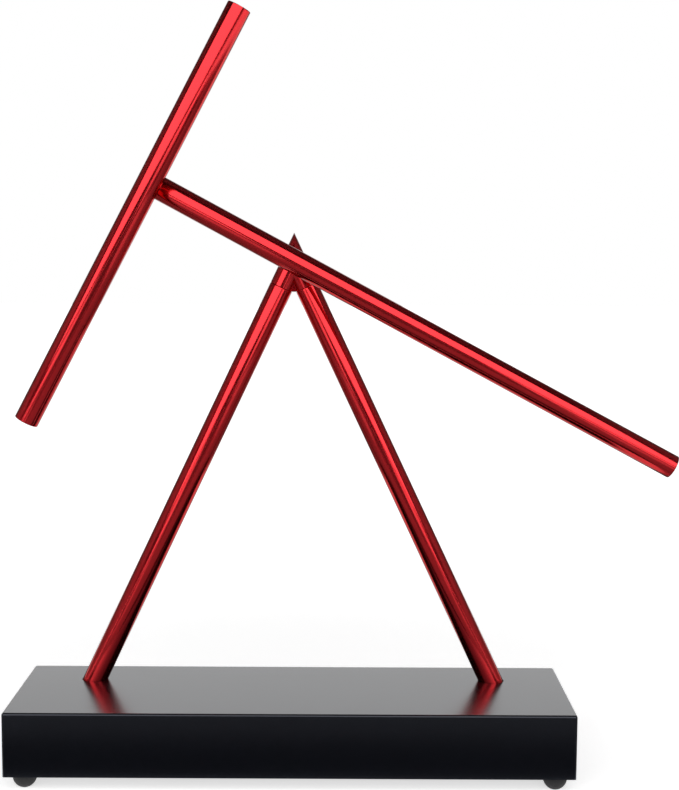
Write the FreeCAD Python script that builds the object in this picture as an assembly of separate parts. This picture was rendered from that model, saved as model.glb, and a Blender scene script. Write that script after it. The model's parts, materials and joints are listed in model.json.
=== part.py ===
import FreeCAD, Part
import math
import os

# Magnetically driven double pendulum for a desk. Millimetres. The origin is on the surface that the
# feet stand on, under the middle of the base. +X runs to the right along the base, +Y to the back and
# +Z up. The two arms swing in planes parallel to XZ, in front of an A-shaped frame.

V = FreeCAD.Vector
ORIGIN = V(0, 0, 0)
FAR = 600.0  # larger than the object, for cutting tools
OVERLAP = 0.1  # how far pieces that become one solid reach into each other
PAST = 1.0  # how far a cutting tool runs past the face that it cuts

# ---- driving dimensions --------------------------------------------------------------------------

# base box
base_length = 280.0
base_depth = 85.0
base_height = 32.0
base_edge_radius = 1.2
base_skin = 3.5  # wood left above the coil
foot_height = 7.5
foot_radius = 6.0
foot_flat_radius = 2.0
foot_inset = 9.3  # centre of a foot from the sides of the base

# bottom plate
plate_thickness = 2.5
plate_margin = 3.0  # rim of the base left round the plate
plate_gap = 0.3
plate_corner = 3.0

# round tube that the legs and both arms are cut from
tube_radius = 6.0
tube_wall = 1.0
tube_end_round = 0.4
insert_gap = 0.05  # radial room round anything pushed into a tube
insert_length = 24.0

# A-frame
leg_plane = 17.5
leg_spread = 103.6  # half the distance between the legs at the top of the base
pivot_rise = 219.1  # main pivot above the top of the base
leg_socket_depth = 12.0
leg_socket_gap = 0.15
leg_seam = 15.0  # from the main pivot to the end of a leg tube, along the leg
spigot_length = 14.0
apex_reach = 40.0  # how far each branch runs past the pivot before the mitre cuts it
crotch_web_width = 7.0
crotch_web_rise = 0.1  # above the lowest edge of the seams
crotch_web_bite = 3.0  # into the metal above the fork

# arms and their rest pose
long_plane = -5.0
short_plane = -22.5
long_reach = 216.9  # main pivot to the tip of the long arm
joint_reach = 78.3  # main pivot to the short arm's pivot
long_tail = 6.0  # long arm beyond the short arm's pivot
short_down = 130.8
short_up = 94.3
long_droop = 28.17  # long arm's tip below the horizontal, degrees
short_lean = 27.64  # short arm off the vertical, degrees
end_plug_length = 5.0
magnet_radius = 4.5
magnet_length = 8.0
cup_floor = 1.0

# pivots: a steel shaft turning in two shielded ball bearings
shaft_radius = 2.0
shaft_fit = 0.01
shaft_bite = 3.0  # depth of the shaft past the axis of the arm that it carries
bearing_radius = 4.0
bearing_width = 3.0
bearing_face = 4.4  # outer face of a bearing from the axis of the tube that holds it
bearing_fit = 0.01
bearing_bore_radius = 3.3  # hole between the two bearings, which leaves them a shoulder
race_inner_radius = 2.6
race_outer_radius = 3.4
ball_radius = 0.65
ball_gap = 0.05
ball_count = 7
shield_inner_radius = 2.75
shield_thickness = 0.25
shield_recess = 0.3
sleeve_radius = 3.5
sleeve_clearance = 0.7  # between the thick part of a sleeve and the tube that it turns past
shim_thickness = 0.3
clip_radius = 3.5
clip_thickness = 0.6
clip_groove_radius = 1.6
clip_mouth = 2.4
clip_play = 0.02  # on each side of a clip in its groove
shaft_end = 0.55  # shaft beyond its clip
shaft_chamfer = 0.25

# screws that hold a leg
leg_bolt_radius = 2.0
leg_bolt_length = 16.0
leg_bolt_offset = 108.0
bolt_head_radius = 3.5
bolt_head_height = 4.0
bolt_socket_radius = 1.7
bolt_socket_depth = 2.2
leg_washer_radius = 4.3
leg_washer_thickness = 0.8
bolt_clearance = 0.2
tapping_depth = 0.5  # hole past the end of a bolt
counterbore_radius = 4.6
counterbore_rise = 12.0  # from the underside of the base to the seat of the washer

# battery compartment
cell_radius = 7.1
cell_length = 50.5
nub_radius = 2.75
nub_height = 1.0
cell_count = 4
cell_spacing = 0.9
compartment_x = -57.0
contact_thickness = 0.4
contact_size = 11.0
spring_length = 4.5
spring_wire = 0.35
spring_large_radius = 3.4
spring_small_radius = 2.2
spring_turns = 3.0
spring_relief = 0.1
box_wall = 1.4
box_roof = 1.6
box_rib = 0.5
box_rib_height = 4.0
cell_headroom = 0.4
pocket_gap = 1.4
pocket_corner = 3.0

# battery door
door_thickness = 2.0
door_gap = 0.3
door_overlap = 0.4  # door past the battery box on each side
trunnion_radius = 0.6
trunnion_length = 1.8
trunnion_fit = 0.05
latch_width = 12.0
latch_length = 3.0
latch_thickness = 1.2
notch_width = 16.0
notch_length = 6.0

# drive coil and its circuit board
coil_pocket_radius = 19.0
coil_flange_radius = 17.0
coil_flange = 1.2
coil_core_radius = 5.5
coil_bore_radius = 4.0
sense_radius = 9.0
drive_radius = 16.0
winding_gap = 0.1
coil_top_gap = 0.2
board_length = 88.0
board_width = 44.0
board_thickness = 1.6
board_low = 20.0
board_left = -18.0
board_pocket_gap = 4.0
board_spacer = 2.4
board_screw_inset_x = 5.0
board_screw_inset_y = 4.0
pin_radius = 0.4
pin_spread = 13.0
pin_length = 3.4
pin_gap = 0.05
pin_sink = 0.2  # top of a pin below the top of the lower flange

# components under the board, each placed by its middle from the coil's axis
capacitor_x, capacitor_y = 34.0, -9.0
capacitor_radius = 4.0
capacitor_height = 8.0
capacitor_round = 0.6
vent_reach = 2.2
vent_half_width = 0.15
vent_depth = 0.2
chip_x, chip_y = 50.0, 4.0
chip_length = 9.4
chip_width = 6.4
chip_height = 3.4
chip_stand = 0.5
chip_mark_radius = 0.8
chip_leg_pitch = 2.54
chip_leg_width = 0.5
chip_leg_thickness = 0.3
chip_leg_reach = 0.6
transistor_x, transistor_y = 38.0, 9.0
transistor_radius = 2.4
transistor_flat = 1.3
transistor_height = 4.6
transistor_stand = 1.6
transistor_pitch = 1.27
transistor_leg = 0.22
resistor_x, resistor_y = 52.0, -14.0
resistor_count = 3
resistor_pitch = 4.0
resistor_radius = 1.1
resistor_half_length = 3.0
resistor_span = 5.0  # middle to the bend of its wire
resistor_drop = 1.6
wire_radius = 0.3

# small screws: flush ones in the plate and raised ones under the board
screw_radius = 1.25
screw_head_radius = 2.4
screw_head_height = 1.4
screw_length = 10.5
screw_fit = 0.01
screw_clearance = 0.15
pilot_depth = 0.2  # hole in the wood past the point of a screw
screw_corner_x = 112.0
screw_corner_y = 32.0
screw_middle_y = 34.5
screw_driver_width = 0.6
screw_driver_length = 2.6
screw_driver_depth = 1.0
board_screw_head = 1.8
board_screw_length = 11.0

# leads from the battery box to the board
lead_radius = 0.6
lead_bend = 2.0
lead_spacing = 5.0
lead_middle_y = 8.0
lead_low = 5.0  # first stretch of a lead below the board
lead_rise_x = 2.5  # end of a lead in from the board's left edge
lead_slope = 1.5
lead_straight = 5.5
lead_slot_margin = 3.0

# ---- derived places ------------------------------------------------------------------------------

base_bottom = foot_height
base_top = base_bottom + base_height
plate_top = base_bottom + plate_thickness
pivot_z = base_top + pivot_rise
leg_angle = math.atan2(leg_spread, pivot_rise)
tube_bore = tube_radius - tube_wall
insert_radius = tube_bore - insert_gap
pivot = V(0, leg_plane, pivot_z)
long_origin = V(0, long_plane, pivot_z)
droop = math.radians(long_droop)
short_origin = V(-joint_reach * math.cos(droop), short_plane, pivot_z + joint_reach * math.sin(droop))
main_spacing = leg_plane - long_plane
short_spacing = long_plane - short_plane
socket_floor = base_top - leg_socket_depth
bolt_seat = base_bottom + counterbore_rise

cell_pitch = 2 * cell_radius + cell_spacing
bay_length = cell_length + spring_length + 2 * contact_thickness
bay_width = cell_count * cell_pitch
box_length = bay_length + 2 * box_wall
box_width = bay_width + 2 * box_wall
cell_z = plate_top + cell_headroom + cell_radius
box_top = cell_z + cell_radius + cell_headroom + box_roof
door_length = box_length + 2 * door_overlap
door_width = box_width + 2 * door_overlap
door_hinge_y = door_width / 2 - door_thickness / 2
door_hinge_z = base_bottom + door_thickness / 2

coil_y = long_plane
ball_circle_radius = (race_inner_radius + race_outer_radius) / 2
board_high = board_low + board_thickness
board_pocket_top = board_high + board_spacer
coil_pocket_top = base_top - base_skin
bobbin_top = coil_pocket_top - coil_top_gap


# ---- shape helpers -------------------------------------------------------------------------------

def rod(radius, start, end):
    """Solid round bar between two points."""
    return Part.makeCylinder(radius, (end - start).Length, start, end - start)


def pipe(outer, inner, start, end):
    """Round tube between two points."""
    return rod(outer, start, end).cut(rod(inner, start, end))


def block(x_low, x_high, y_low, y_high, z_low, z_high):
    """Box from its limits."""
    return Part.makeBox(x_high - x_low, y_high - y_low, z_high - z_low, V(x_low, y_low, z_low))


def rounded_block(x_low, x_high, y_low, y_high, z_low, z_high, corner):
    """Box with its four upright edges rounded."""
    solid = block(x_low, x_high, y_low, y_high, z_low, z_high)
    upright = [e for e in solid.Edges if abs(e.tangentAt(e.FirstParameter).z) > 0.9]
    return solid.makeFillet(corner, upright)


def cross_rod(radius, y_start, y_end, x=0.0, z=0.0):
    """Bar along Y, the direction of every pivot."""
    return rod(radius, V(x, y_start, z), V(x, y_end, z))


def cross_pipe(outer, inner, y_start, y_end, x=0.0):
    """Tube along Y."""
    return cross_rod(outer, y_start, y_end, x).cut(cross_rod(inner, y_start, y_end, x))


def fused(shapes):
    """One solid from several that meet."""
    whole = shapes[0].multiFuse(shapes[1:]) if len(shapes) > 1 else shapes[0]
    return whole.removeSplitter()


def placed(shape, offset):
    """A copy moved by offset."""
    copy = shape.copy()
    copy.translate(offset)
    return copy


def posed(shape, origin, angle):
    """Takes a shape from an arm's own frame, along X with its pivot at the origin, to the rest pose."""
    copy = shape.copy()
    copy.rotate(ORIGIN, V(0, 1, 0), angle)
    copy.translate(origin)
    return copy


def on_long_arm(shape):
    return posed(shape, long_origin, long_droop)


def on_short_arm(shape):
    return posed(shape, short_origin, 90.0 + short_lean)


def solids_of(shapes):
    """All solids of several shapes as one flat list."""
    return [solid for shape in shapes for solid in shape.Solids]


# ---- base ----------------------------------------------------------------------------------------

def leg_direction(side):
    """Unit vector down a leg; side is -1 for the left leg and 1 for the right one."""
    return V(side * math.sin(leg_angle), 0, -math.cos(leg_angle))


def below_cut(shape, z):
    """What is left of a shape above a level."""
    return shape.cut(block(-FAR, FAR, -FAR, FAR, z - FAR, z))


def leg_bar(side, radius, start, end):
    """Bar on a leg's axis, from start to end along the leg."""
    return rod(radius, pivot + leg_direction(side) * start, pivot + leg_direction(side) * end)


def leg_end():
    """Distance along a leg from the pivot that is safely past its lower end."""
    return (pivot_z - socket_floor) / math.cos(leg_angle) + tube_radius


def plate_screw_places():
    corners = [(x, y) for x in (-screw_corner_x, screw_corner_x) for y in (-screw_corner_y, screw_corner_y)]
    return corners + [(0.0, -screw_middle_y), (0.0, screw_middle_y)]


def leg_cuts(side):
    """Angled socket for a leg, with the bolt hole and counterbore below it."""
    x = side * leg_bolt_offset
    socket = below_cut(leg_bar(side, tube_radius + leg_socket_gap, leg_seam, leg_end()), socket_floor)
    low = V(x, leg_plane, base_bottom)
    hole = rod(leg_bolt_radius + bolt_clearance, low, V(x, leg_plane, socket_floor + PAST))
    counterbore = rod(counterbore_radius, low, V(x, leg_plane, bolt_seat))
    return [socket, hole, counterbore]


def base_shell():
    """Wooden box, open below, with a rebate for the plate, a battery pocket and a stepped coil pocket."""
    half_x, half_y = base_length / 2, base_depth / 2
    body = block(-half_x, half_x, -half_y, half_y, base_bottom, base_top)
    body = body.makeFillet(base_edge_radius, [e for e in body.Edges if e.BoundBox.ZMax > plate_top])
    rebate = rounded_block(
        plate_margin - half_x, half_x - plate_margin, plate_margin - half_y, half_y - plate_margin,
        base_bottom - PAST, plate_top, plate_corner + plate_gap)
    battery_pocket = rounded_block(
        compartment_x - box_length / 2 - pocket_gap, compartment_x + box_length / 2 + pocket_gap,
        -box_width / 2 - pocket_gap, box_width / 2 + pocket_gap,
        base_bottom, box_top + pocket_gap / 2, pocket_corner)
    board_pocket = rounded_block(
        board_left - board_pocket_gap, board_left + board_length + board_pocket_gap,
        coil_y - board_width / 2 - board_pocket_gap, coil_y + board_width / 2 + board_pocket_gap,
        base_bottom, board_pocket_top, pocket_corner)
    coil_pocket = rod(coil_pocket_radius, V(0, coil_y, base_bottom), V(0, coil_y, coil_pocket_top))
    lead_slot = block(
        compartment_x, board_left, lead_middle_y - lead_spacing / 2 - lead_slot_margin,
        lead_middle_y + lead_spacing / 2 + lead_slot_margin,
        base_bottom, board_low - lead_low + lead_slot_margin)
    pilots = [
        rod(screw_radius + screw_fit, V(x, y, base_bottom), V(x, y, base_bottom + screw_length + pilot_depth))
        for x, y in plate_screw_places()]
    board_pilot_top = board_low + board_screw_length + pilot_depth
    board_pilots = [
        rod(screw_radius + screw_fit, V(x, y, board_high), V(x, y, board_pilot_top))
        for x, y in board_screw_places()]
    cuts = [rebate, battery_pocket, board_pocket, coil_pocket, lead_slot]
    return body.cut(cuts + pilots + board_pilots + leg_cuts(-1) + leg_cuts(1))


def rubber_foot(x, y):
    """Domed foot with a small flat to stand on."""
    dome_z = math.sqrt(foot_radius ** 2 - foot_flat_radius ** 2)
    slope = (math.atan2(-dome_z, foot_flat_radius)) / 2
    middle = V(foot_radius * math.cos(slope), 0, dome_z + foot_radius * math.sin(slope))
    low, side = V(foot_flat_radius, 0, 0), V(foot_radius, 0, dome_z)
    top, axis_top = V(foot_radius, 0, foot_height), V(0, 0, foot_height)
    outline = [
        Part.LineSegment(ORIGIN, low).toShape(), Part.Arc(low, middle, side).toShape(),
        Part.LineSegment(side, top).toShape(), Part.LineSegment(top, axis_top).toShape(),
        Part.LineSegment(axis_top, ORIGIN).toShape()]
    foot = Part.Face(Part.Wire(outline)).revolve(ORIGIN, V(0, 0, 1), 360)
    return placed(foot, V(x, y, 0))


def rubber_feet():
    x, y = base_length / 2 - foot_inset, base_depth / 2 - foot_inset
    return [rubber_foot(a, b) for a in (-x, x) for b in (-y, y)]


def door_bounds(gap):
    """Limits in X and Y of the door, grown by gap."""
    half_x, half_y = door_length / 2 + gap, door_width / 2 + gap
    return compartment_x - half_x, compartment_x + half_x, -half_y, half_y


def trunnions(radius, extra):
    """Two pins on the hinge line at the ends of the door, or with extra size the holes for them."""
    x_low, x_high, _, _ = door_bounds(0)
    made = []
    for side, x in ((-1, x_low), (1, x_high)):
        inner, outer = x - side, x + side * (trunnion_length + extra)
        made.append(rod(radius, V(inner, door_hinge_y, door_hinge_z), V(outer, door_hinge_y, door_hinge_z)))
    return made


def bottom_plate():
    """Plate that closes the base, with the opening for the battery door and the holes of its hinge."""
    half_x = base_length / 2 - plate_margin - plate_gap
    half_y = base_depth / 2 - plate_margin - plate_gap
    plate = rounded_block(-half_x, half_x, -half_y, half_y, base_bottom, plate_top, plate_corner)
    x_low, x_high, y_low, y_high = door_bounds(door_gap)
    opening = block(x_low, x_high, y_low, y_high, base_bottom - PAST, plate_top + PAST)
    notch = block(
        compartment_x - notch_width / 2, compartment_x + notch_width / 2, y_low - notch_length, y_low + PAST,
        base_bottom - PAST, base_bottom + latch_thickness + door_gap)
    holes = [
        rod(screw_radius + screw_clearance, V(x, y, base_bottom), V(x, y, plate_top))
        for x, y in plate_screw_places()]
    sinks = [
        Part.makeCone(screw_head_radius + screw_clearance, screw_radius + screw_clearance,
                      screw_head_height, V(x, y, base_bottom), V(0, 0, 1))
        for x, y in plate_screw_places()]
    return plate.cut([opening, notch] + trunnions(trunnion_radius + trunnion_fit, door_gap) + holes + sinks)


def battery_door():
    """Door that turns on two trunnions at the back, with a finger tab at the front."""
    x_low, x_high, y_low, _ = door_bounds(0)
    panel = block(x_low, x_high, y_low, door_hinge_y, base_bottom, base_bottom + door_thickness)
    hinge_low, hinge_high = V(x_low, door_hinge_y, door_hinge_z), V(x_high, door_hinge_y, door_hinge_z)
    knuckle = rod(door_thickness / 2, hinge_low, hinge_high)
    tab = block(
        compartment_x - latch_width / 2, compartment_x + latch_width / 2, y_low - latch_length, y_low + PAST,
        base_bottom, base_bottom + latch_thickness)
    return fused([panel, knuckle, tab] + trunnions(trunnion_radius, 0))


def driver_slot(x, y, z):
    """Cross cut for a screwdriver, upwards into a head at z."""
    half, wide = screw_driver_length / 2, screw_driver_width / 2
    along = block(x - half, x + half, y - wide, y + wide, z - PAST, z + screw_driver_depth)
    across = block(x - wide, x + wide, y - half, y + half, z - PAST, z + screw_driver_depth)
    return along.fuse(across)


def plate_screws():
    """Flush screws through the bottom plate."""
    made = []
    for x, y in plate_screw_places():
        low = V(x, y, base_bottom)
        neck = V(x, y, base_bottom + screw_head_height - OVERLAP)
        head = Part.makeCone(screw_head_radius, screw_radius, screw_head_height, low, V(0, 0, 1))
        shank = rod(screw_radius, neck, V(x, y, base_bottom + screw_length))
        made.append(fused([head, shank]).cut(driver_slot(x, y, base_bottom)))
    return made


# ---- battery box ---------------------------------------------------------------------------------

def cell_rows():
    """Centre line in Y of each cell, with the way its positive end points along X."""
    first = -(cell_count - 1) * cell_pitch / 2
    return [(first + i * cell_pitch, 1 if i % 2 == 0 else -1) for i in range(cell_count)]


def wall_x(way):
    """Inner face of the battery box at one end."""
    return compartment_x + way * bay_length / 2


def battery_box():
    """Tray, open below, with ribs between the cells."""
    x_low, x_high = compartment_x - box_length / 2, compartment_x + box_length / 2
    y_low, y_high = -box_width / 2, box_width / 2
    shell = block(x_low, x_high, y_low, y_high, plate_top, box_top)
    ceiling = box_top - box_roof
    inside = block(
        x_low + box_wall, x_high - box_wall, y_low + box_wall, y_high - box_wall, plate_top, ceiling)
    ribs = [
        block(x_low + box_wall, x_high - box_wall, y - box_rib / 2, y + box_rib / 2,
              ceiling - box_rib_height, ceiling + OVERLAP)
        for y in ((i - cell_count / 2) * cell_pitch for i in range(1, cell_count))]
    return fused([shell.cut(inside)] + ribs)


def battery_cells():
    """Four round cells, turned end for end in turn."""
    made = []
    for y, way in cell_rows():
        nub_tip = wall_x(way) - way * contact_thickness
        shoulder = nub_tip - way * nub_height
        end = nub_tip - way * cell_length
        can = rod(cell_radius, V(end, y, cell_z), V(shoulder, y, cell_z))
        nub = rod(nub_radius, V(shoulder - way * OVERLAP, y, cell_z), V(nub_tip, y, cell_z))
        made.append(fused([can, nub]))
    return made


def contact_plates():
    """Tinned plate at both ends of each cell."""
    made = []
    half = contact_size / 2
    for y, _ in cell_rows():
        for way in (-1, 1):
            x_low, x_high = sorted((wall_x(way) - way * contact_thickness, wall_x(way)))
            made.append(block(x_low, x_high, y - half, y + half, cell_z - half, cell_z + half))
    return made


def contact_springs():
    """Conical spring that presses on each cell's negative end."""
    made = []
    rise, spread = spring_length - 2 * spring_wire - spring_relief, spring_large_radius - spring_small_radius
    slant, taper = math.hypot(rise, spread), math.degrees(math.atan2(spread, rise))
    for y, way in cell_rows():
        helix = Part.makeLongHelix(slant / spring_turns, slant, spring_small_radius, taper)
        start = V(spring_small_radius, 0, 0)
        profile = Part.Wire(Part.makeCircle(spring_wire, start, V(0, 1, 0)))
        spring = Part.Wire(helix.Edges).makePipeShell([profile], True, True)
        spring.rotate(ORIGIN, V(0, 1, 0), -90 * way)
        cell_end = wall_x(way) - way * (contact_thickness + cell_length)
        spring.translate(V(cell_end - way * spring_wire, y, cell_z))
        made.append(spring)
    return made


# ---- coil and circuit board ----------------------------------------------------------------------

def board_screw_places():
    x_low, x_high = board_left + board_screw_inset_x, board_left + board_length - board_screw_inset_x
    reach = board_width / 2 - board_screw_inset_y
    return [(x, coil_y + s * reach) for x in (x_low, x_high) for s in (-1, 1)]


def pin_places():
    return [(x * pin_spread / 2, coil_y + y * pin_spread) for x in (-1, 1) for y in (-1, 1)]


def circuit_board():
    y_low = coil_y - board_width / 2
    board = block(board_left, board_left + board_length, y_low, y_low + board_width, board_low, board_high)
    holes = [
        rod(screw_radius + screw_clearance, V(x, y, board_low), V(x, y, board_high))
        for x, y in board_screw_places()]
    vias = [rod(pin_radius + pin_gap, V(x, y, board_low), V(x, y, board_high)) for x, y in pin_places()]
    return board.cut(holes + vias)


def board_spacers():
    return [
        pipe(2 * screw_radius, screw_radius + screw_clearance, V(x, y, board_high), V(x, y, board_pocket_top))
        for x, y in board_screw_places()]


def board_screws():
    """Raised-head screws that hold the board up against its spacers."""
    made = []
    for x, y in board_screw_places():
        head_low = board_low - board_screw_head
        head = rod(screw_head_radius, V(x, y, head_low), V(x, y, board_low))
        shank = rod(screw_radius, V(x, y, board_low - OVERLAP), V(x, y, board_low + board_screw_length))
        made.append(fused([head, shank]).cut(driver_slot(x, y, head_low)))
    return made


def coil_bobbin():
    """Spool that stands on the board, its upper flange just under the top of the base."""
    low, high = board_high, bobbin_top
    core = rod(coil_core_radius, V(0, coil_y, low), V(0, coil_y, high))
    lower = rod(coil_flange_radius, V(0, coil_y, low), V(0, coil_y, low + coil_flange))
    upper = rod(coil_flange_radius, V(0, coil_y, high - coil_flange), V(0, coil_y, high))
    bore = rod(coil_bore_radius, V(0, coil_y, low), V(0, coil_y, high))
    pin_holes = [rod(pin_radius + pin_gap, V(x, y, low), V(x, y, low + coil_flange)) for x, y in pin_places()]
    return fused([core, lower, upper]).cut([bore] + pin_holes)


def winding(inner, outer):
    low, high = board_high + coil_flange + winding_gap, bobbin_top - coil_flange - winding_gap
    return pipe(outer, inner, V(0, coil_y, low), V(0, coil_y, high))


def coil_pins():
    """Terminal pins of the bobbin, soldered through the board."""
    top = board_high + coil_flange - pin_sink
    return [rod(pin_radius, V(x, y, top - pin_length), V(x, y, top)) for x, y in pin_places()]


def storage_capacitor():
    """Upright can under the board, with a vent cross pressed in its end."""
    x, y = capacitor_x, coil_y + capacitor_y
    low = board_low - capacitor_height
    can = rod(capacitor_radius, V(x, y, low), V(x, y, board_low))
    can = can.makeFillet(capacitor_round, [e for e in can.Edges if e.BoundBox.ZMax < low + OVERLAP])
    along, across = vent_reach, vent_half_width
    vent = [
        block(x - a, x + a, y - b, y + b, low - PAST, low + vent_depth)
        for a, b in ((along, across), (across, along))]
    return can.cut(vent)


def driver_chip():
    """Eight-legged chip that watches the sense winding and pulses the drive winding."""
    x, y = chip_x, coil_y + chip_y
    low, high = board_low - chip_stand - chip_height, board_low - chip_stand
    half_x, half_y = chip_length / 2, chip_width / 2
    body = block(x - half_x, x + half_x, y - half_y, y + half_y, low, high)
    mark = rod(chip_mark_radius, V(x - half_x, y, low - PAST), V(x - half_x, y, low + OVERLAP))
    level = (low + high) / 2
    legs = []
    for side in (-1, 1):
        inner, outer = y + side * (half_y - OVERLAP), y + side * (half_y + chip_leg_reach)
        shoulder_y = sorted((inner, outer))
        drop_y = sorted((outer - side * chip_leg_thickness, outer))
        for i in range(4):
            leg_x = x + (i - 1.5) * chip_leg_pitch
            wide, narrow = chip_leg_width, chip_leg_width / 2
            legs.append(block(leg_x - wide, leg_x + wide, *shoulder_y, level, level + chip_leg_thickness))
            legs.append(block(leg_x - narrow, leg_x + narrow, *drop_y, level, board_low))
    return fused([body.cut(mark)] + legs)


def drive_transistor():
    """Half-round transistor on three leads."""
    x, y = transistor_x, coil_y + transistor_y
    high = board_low - transistor_stand
    low = high - transistor_height
    half = transistor_leg
    body = rod(transistor_radius, V(x, y, low), V(x, y, high))
    flat = block(x - FAR, x + FAR, y + transistor_flat, y + FAR, low - PAST, high + PAST)
    leads = [
        block(a - half, a + half, y - half, y + half, high - OVERLAP, board_low)
        for a in (x - transistor_pitch, x, x + transistor_pitch)]
    return fused([body.cut(flat)] + leads)


def resistors():
    """Axial resistors lying side by side under the board."""
    made = []
    x, z = resistor_x, board_low - resistor_drop
    for i in range(resistor_count):
        y = coil_y + resistor_y + resistor_pitch * i
        body = rod(resistor_radius, V(x - resistor_half_length, y, z), V(x + resistor_half_length, y, z))
        left, right = V(x - resistor_span, y, z), V(x + resistor_span, y, z)
        legs = [rod(wire_radius, end, V(end.x, y, board_low)) for end in (left, right)]
        knees = [Part.makeSphere(wire_radius, end) for end in (left, right)]
        made.append(fused([body, rod(wire_radius, left, right)] + legs + knees))
    return made


def bent_lead(points, radius, bend):
    """Round lead through a list of points, its corners rounded with tangent arcs."""
    edges, start = [], points[0]
    for before, corner, after in zip(points, points[1:], points[2:]):
        into, out = (corner - before).normalize(), (after - corner).normalize()
        half_turn = math.acos(max(-1.0, min(1.0, into.dot(out)))) / 2
        setback = bend * math.tan(half_turn)
        arc_start, arc_end = corner - into * setback, corner + out * setback
        inward = (out - into).normalize()
        centre = corner + inward * (bend / math.cos(half_turn))
        edges.append(Part.LineSegment(start, arc_start).toShape())
        edges.append(Part.Arc(arc_start, centre - inward * bend, arc_end).toShape())
        start = arc_end
    edges.append(Part.LineSegment(start, points[-1]).toShape())
    path = Part.Wire(edges)
    ring = Part.Wire(Part.makeCircle(radius, points[0], points[1] - points[0]))
    return path.makePipeShell([ring], True, True)


def battery_lead(y):
    """Lead from the end of the battery box, through the slot in the wood and up to the board."""
    box_x = compartment_x + box_length / 2
    low = board_low - lead_low
    rise_x = board_left + lead_rise_x
    turn_x = box_x + lead_straight
    points = [V(box_x, y, low), V(turn_x, y, low), V(rise_x, y, low + lead_slope), V(rise_x, y, board_low)]
    return bent_lead(points, lead_radius, lead_bend)


# ---- A-frame -------------------------------------------------------------------------------------

def leg_tube(side):
    """Leg, square at the seam under the apex and level at the floor of its socket."""
    tube = leg_bar(side, tube_radius, leg_seam, leg_end()).cut(leg_bar(side, tube_bore, leg_seam, leg_end()))
    return below_cut(tube, socket_floor)


def leg_plug(side):
    """Solid foot inside a leg, tapped for the bolt."""
    plug_top = (pivot_z - socket_floor) / math.cos(leg_angle) - insert_length
    plug = below_cut(leg_bar(side, insert_radius, plug_top, leg_end()), socket_floor)
    x = side * leg_bolt_offset
    tip = bolt_seat - leg_washer_thickness + leg_bolt_length
    low, high = V(x, leg_plane, socket_floor - PAST), V(x, leg_plane, tip + tapping_depth)
    return plug.cut(rod(leg_bolt_radius + shaft_fit, low, high))


def leg_bolt(side):
    """Cap screw that pulls a leg into its socket."""
    x = side * leg_bolt_offset
    seat = bolt_seat - leg_washer_thickness
    head = rod(bolt_head_radius, V(x, leg_plane, seat - bolt_head_height), V(x, leg_plane, seat))
    shank = rod(leg_bolt_radius, V(x, leg_plane, seat - OVERLAP), V(x, leg_plane, seat + leg_bolt_length))
    corners = [
        V(x + bolt_socket_radius * math.cos(math.radians(60 * i)),
          leg_plane + bolt_socket_radius * math.sin(math.radians(60 * i)), seat - bolt_head_height)
        for i in range(7)]
    socket = Part.Face(Part.makePolygon(corners)).extrude(V(0, 0, bolt_socket_depth))
    return fused([head, shank]).cut(socket)


def leg_washer(side):
    x = side * leg_bolt_offset
    return pipe(leg_washer_radius, leg_bolt_radius + bolt_clearance,
                V(x, leg_plane, bolt_seat - leg_washer_thickness), V(x, leg_plane, bolt_seat))


def bearing_bore(y_axis, x=0.0):
    """Stepped hole for two bearings and the shaft, across a tube whose axis is at y_axis."""
    land = bearing_face - bearing_width
    outer = tube_radius + PAST
    through = cross_rod(bearing_bore_radius, y_axis - outer, y_axis + outer, x)
    seats = [cross_rod(bearing_radius, y_axis + way * land, y_axis + way * outer, x) for way in (-1, 1)]
    return [through] + seats


def apex_branch(side):
    """One branch of the apex: a leg's line carried past the pivot and mitred on the middle plane."""
    way = leg_direction(side)
    bar = rod(tube_radius, way * -apex_reach, way * leg_seam)
    other_half = block(0, FAR, -FAR, FAR, -FAR, FAR) if side < 0 else block(-FAR, 0, -FAR, FAR, -FAR, FAR)
    spigot = rod(insert_radius, way * (leg_seam - PAST), way * (leg_seam + spigot_length))
    return bar.cut(other_half).fuse(spigot)


def crotch_web():
    """Fillet of metal in the fork, down to where the two tube ends nearly touch."""
    mitre = -tube_radius / math.sin(leg_angle)
    inner = tube_radius * math.cos(leg_angle) - leg_seam * math.sin(leg_angle)
    low = -leg_seam * math.cos(leg_angle) - tube_radius * math.sin(leg_angle) + crotch_web_rise
    half = abs(inner)
    top = mitre + crotch_web_bite
    half_top = half + (top - low) * math.tan(leg_angle)
    depth = crotch_web_width / 2
    corners = [
        V(-half, -depth, low), V(half, -depth, low), V(half_top, -depth, top), V(-half_top, -depth, top)]
    return Part.Face(Part.makePolygon(corners + corners[:1])).extrude(V(0, crotch_web_width, 0))


def apex_connector():
    """Pointed head of the A-frame with a spigot for each leg and the seats of the main bearings."""
    head = fused([apex_branch(-1), apex_branch(1), crotch_web()])
    return placed(head.cut(bearing_bore(0.0)), pivot)


# ---- pivots --------------------------------------------------------------------------------------

def bearing_middles(y_axis):
    """Middle in Y of the two bearings across a tube whose axis is at y_axis."""
    reach = bearing_face - bearing_width / 2
    return [y_axis - reach, y_axis + reach]


def groove(y, x):
    """Ball track, cut from both races."""
    return Part.makeTorus(ball_circle_radius, ball_radius + ball_gap, V(x, y, 0), V(0, 1, 0))


def outer_race(y, x=0.0):
    """Outer ring of a bearing with its two shields."""
    half = bearing_width / 2
    ring = cross_pipe(bearing_radius - bearing_fit, race_outer_radius, y - half, y + half, x)
    ring = ring.cut(groove(y, x))
    shields = []
    for way in (-1, 1):
        near = y + way * (half - shield_recess)
        start, end = sorted((near, near - way * shield_thickness))
        shields.append(cross_pipe(race_outer_radius + OVERLAP, shield_inner_radius, start, end, x))
    return fused([ring] + shields)


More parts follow.
